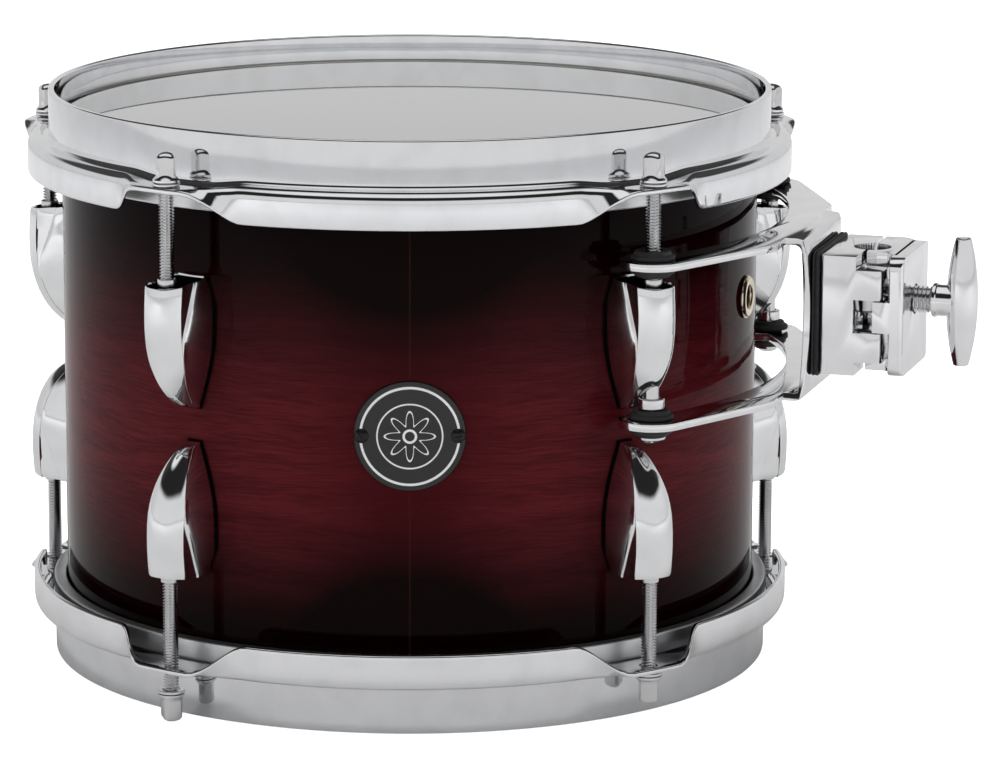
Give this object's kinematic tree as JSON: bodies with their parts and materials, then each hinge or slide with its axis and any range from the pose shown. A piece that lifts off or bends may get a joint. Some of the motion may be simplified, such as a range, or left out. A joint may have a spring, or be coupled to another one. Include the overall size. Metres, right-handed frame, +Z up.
{
  "type": "tom tom drum",
  "caption": "Rack tom drum: lacquered wood shell, two clear heads under double-flanged hoops, single lugs with tension rods, and a suspension bracket with a clamp for an L-rod.",
  "frame": {"origin": "centre of the batter head's playing face", "axes": "+Z up out of the playing face along the drum's axis, the badge faces -Y, +X to the right with the mount"},
  "size_m": [0.3427, 0.2871, 0.207],
  "materials": {
    "shell_lacquer": "gloss lacquer over a dark burst",
    "vent_brass": "plated",
    "badge_enamel": "gloss",
    "flesh_hoop": "satin",
    "clear_film": "clear polyester film",
    "hoop_chrome": "polished",
    "lug_chrome": "polished",
    "rod_chrome": "polished",
    "plated_steel": "plated",
    "bracket_chrome": "polished",
    "clamp_chrome": "polished",
    "black_rubber": "matt",
    "nylon": "satin"
  },
  "bodies": {
    "root": {"shell": "shell_lacquer", "vent_eyelet": "vent_brass", "badge": "badge_enamel", "badge_screw_left": "badge_enamel", "badge_screw_right": "badge_enamel", "batter_head": "clear_film", "resonant_head": "clear_film", "batter_flesh_hoop": "flesh_hoop", "resonant_flesh_hoop": "flesh_hoop", "batter_hoop": "hoop_chrome", "resonant_hoop": "hoop_chrome", "lug_top_1": "lug_chrome", "lug_top_2": "lug_chrome", "lug_top_3": "lug_chrome", "lug_top_4": "lug_chrome", "lug_top_5": "lug_chrome", "lug_bottom_1": "lug_chrome", "lug_bottom_2": "lug_chrome", "lug_bottom_3": "lug_chrome", "lug_bottom_4": "lug_chrome", "lug_bottom_5": "lug_chrome", "bracket_plate": "bracket_chrome", "grommet_upper_front": "black_rubber", "grommet_lower_front": "black_rubber", "lug_collar_front": "plated_steel", "bracket_screw_front": "plated_steel", "grommet_upper_rear": "black_rubber", "grommet_lower_rear": "black_rubber", "lug_collar_rear": "plated_steel", "bracket_screw_rear": "plated_steel", "clamp_gasket": "black_rubber", "clamp_base": "clamp_chrome"},
    "washer_top_1": {"rod_washer_top_1": "rod_chrome"},
    "rod_top_1": {"tension_rod_top_1": "rod_chrome"},
    "washer_top_2": {"rod_washer_top_2": "rod_chrome"},
    "rod_top_2": {"tension_rod_top_2": "rod_chrome"},
    "washer_top_3": {"rod_washer_top_3": "rod_chrome"},
    "rod_top_3": {"tension_rod_top_3": "rod_chrome"},
    "washer_top_4": {"rod_washer_top_4": "rod_chrome"},
    "rod_top_4": {"tension_rod_top_4": "rod_chrome"},
    "washer_top_5": {"rod_washer_top_5": "rod_chrome"},
    "rod_top_5": {"tension_rod_top_5": "rod_chrome"},
    "washer_bottom_1": {"rod_washer_bottom_1": "rod_chrome"},
    "rod_bottom_1": {"tension_rod_bottom_1": "rod_chrome"},
    "washer_bottom_2": {"rod_washer_bottom_2": "rod_chrome"},
    "rod_bottom_2": {"tension_rod_bottom_2": "rod_chrome"},
    "washer_bottom_3": {"rod_washer_bottom_3": "rod_chrome"},
    "rod_bottom_3": {"tension_rod_bottom_3": "rod_chrome"},
    "washer_bottom_4": {"rod_washer_bottom_4": "rod_chrome"},
    "rod_bottom_4": {"tension_rod_bottom_4": "rod_chrome"},
    "washer_bottom_5": {"rod_washer_bottom_5": "rod_chrome"},
    "rod_bottom_5": {"tension_rod_bottom_5": "rod_chrome"},
    "jaw": {"clamp_jaw": "clamp_chrome"},
    "eyebolt": {"clamp_eyebolt": "plated_steel"},
    "thrust_washer": {"thrust_washer": "nylon"},
    "wing_nut": {"wing_nut": "clamp_chrome"}
  },
  "joints": [
    {"name": "rod_travel_top_1", "type": "slide", "parent": "root", "child": "washer_top_1", "axis": [0, 0, 1], "range_m": [0, 0.0127]},
    {"name": "rod_turn_top_1", "type": "hinge", "parent": "washer_top_1", "child": "rod_top_1", "pos_m": [-0.1341, 0.04357, -0.0936], "axis": [0, 0, 1], "range_deg": [0, 4320]},
    {"name": "rod_travel_top_2", "type": "slide", "parent": "root", "child": "washer_top_2", "axis": [0, 0, 1], "range_m": [0, 0.0127]},
    {"name": "rod_turn_top_2", "type": "hinge", "parent": "washer_top_2", "child": "rod_top_2", "pos_m": [-0.08288, -0.11407, -0.0936], "axis": [0, 0, 1], "range_deg": [0, 4320]},
    {"name": "rod_travel_top_3", "type": "slide", "parent": "root", "child": "washer_top_3", "axis": [0, 0, 1], "range_m": [0, 0.0127]},
    {"name": "rod_turn_top_3", "type": "hinge", "parent": "washer_top_3", "child": "rod_top_3", "pos_m": [0.08288, -0.11407, -0.0936], "axis": [0, 0, 1], "range_deg": [0, 4320]},
    {"name": "rod_travel_top_4", "type": "slide", "parent": "root", "child": "washer_top_4", "axis": [0, 0, 1], "range_m": [0, 0.0127]},
    {"name": "rod_turn_top_4", "type": "hinge", "parent": "washer_top_4", "child": "rod_top_4", "pos_m": [0.1341, 0.04357, -0.0936], "axis": [0, 0, 1], "range_deg": [0, 4320]},
    {"name": "rod_travel_top_5", "type": "slide", "parent": "root", "child": "washer_top_5", "axis": [0, 0, 1], "range_m": [0, 0.0127]},
    {"name": "rod_turn_top_5", "type": "hinge", "parent": "washer_top_5", "child": "rod_top_5", "pos_m": [0, 0.141, -0.0936], "axis": [0, 0, 1], "range_deg": [0, 4320]},
    {"name": "rod_travel_bottom_1", "type": "slide", "parent": "root", "child": "washer_bottom_1", "axis": [0, 0, -1], "range_m": [0, 0.0127]},
    {"name": "rod_turn_bottom_1", "type": "hinge", "parent": "washer_bottom_1", "child": "rod_bottom_1", "pos_m": [-0.1341, 0.04357, -0.0936], "axis": [0, 0, -1], "range_deg": [0, 4320]},
    {"name": "rod_travel_bottom_2", "type": "slide", "parent": "root", "child": "washer_bottom_2", "axis": [0, 0, -1], "range_m": [-0.00635, 0.00635]},
    {"name": "rod_turn_bottom_2", "type": "hinge", "parent": "washer_bottom_2", "child": "rod_bottom_2", "pos_m": [-0.08288, -0.11407, -0.0936], "axis": [0, 0, -1], "range_deg": [-2160, 2160]},
    {"name": "rod_travel_bottom_3", "type": "slide", "parent": "root", "child": "washer_bottom_3", "axis": [0, 0, -1], "range_m": [0, 0.0127]},
    {"name": "rod_turn_bottom_3", "type": "hinge", "parent": "washer_bottom_3", "child": "rod_bottom_3", "pos_m": [0.08288, -0.11407, -0.0936], "axis": [0, 0, -1], "range_deg": [0, 4320]},
    {"name": "rod_travel_bottom_4", "type": "slide", "parent": "root", "child": "washer_bottom_4", "axis": [0, 0, -1], "range_m": [0, 0.0127]},
    {"name": "rod_turn_bottom_4", "type": "hinge", "parent": "washer_bottom_4", "child": "rod_bottom_4", "pos_m": [0.1341, 0.04357, -0.0936], "axis": [0, 0, -1], "range_deg": [0, 4320]},
    {"name": "rod_travel_bottom_5", "type": "slide", "parent": "root", "child": "washer_bottom_5", "axis": [0, 0, -1], "range_m": [0, 0.0127]},
    {"name": "rod_turn_bottom_5", "type": "hinge", "parent": "washer_bottom_5", "child": "rod_bottom_5", "pos_m": [0, 0.141, -0.0936], "axis": [0, 0, -1], "range_deg": [0, 4320]},
    {"name": "jaw_slide", "type": "slide", "parent": "root", "child": "jaw", "axis": [0.9511, -0.309, 0], "range_m": [-0.0009, 0]},
    {"name": "eyebolt_slide", "type": "slide", "parent": "root", "child": "eyebolt", "axis": [0.9511, -0.309, 0], "range_m": [0, 0.0008]},
    {"name": "wing_nut_travel", "type": "slide", "parent": "eyebolt", "child": "thrust_washer", "axis": [0.9511, -0.309, 0], "range_m": [-0.00601, 0.00301]},
    {"name": "wing_nut_turn", "type": "hinge", "parent": "thrust_washer", "child": "wing_nut", "pos_m": [0.18479, -0.06004, -0.05815], "axis": [0.9511, -0.309, 0], "range_deg": [-1440, 720]}
  ],
  "couplings": [
    {"joint": "rod_turn_top_1", "follows": "rod_travel_top_1", "rad_per_m": 5936.9},
    {"joint": "rod_turn_top_2", "follows": "rod_travel_top_2", "rad_per_m": 5936.9},
    {"joint": "rod_turn_top_3", "follows": "rod_travel_top_3", "rad_per_m": 5936.9},
    {"joint": "rod_turn_top_4", "follows": "rod_travel_top_4", "rad_per_m": 5936.9},
    {"joint": "rod_turn_top_5", "follows": "rod_travel_top_5", "rad_per_m": 5936.9},
    {"joint": "rod_turn_bottom_1", "follows": "rod_travel_bottom_1", "rad_per_m": 5936.9},
    {"joint": "rod_turn_bottom_2", "follows": "rod_travel_bottom_2", "rad_per_m": 5936.9},
    {"joint": "rod_turn_bottom_3", "follows": "rod_travel_bottom_3", "rad_per_m": 5936.9},
    {"joint": "rod_turn_bottom_4", "follows": "rod_travel_bottom_4", "rad_per_m": 5936.9},
    {"joint": "rod_turn_bottom_5", "follows": "rod_travel_bottom_5", "rad_per_m": 5936.9},
    {"joint": "wing_nut_travel", "follows": "wing_nut_turn", "m_per_rad": 0.00023873}
  ]
}
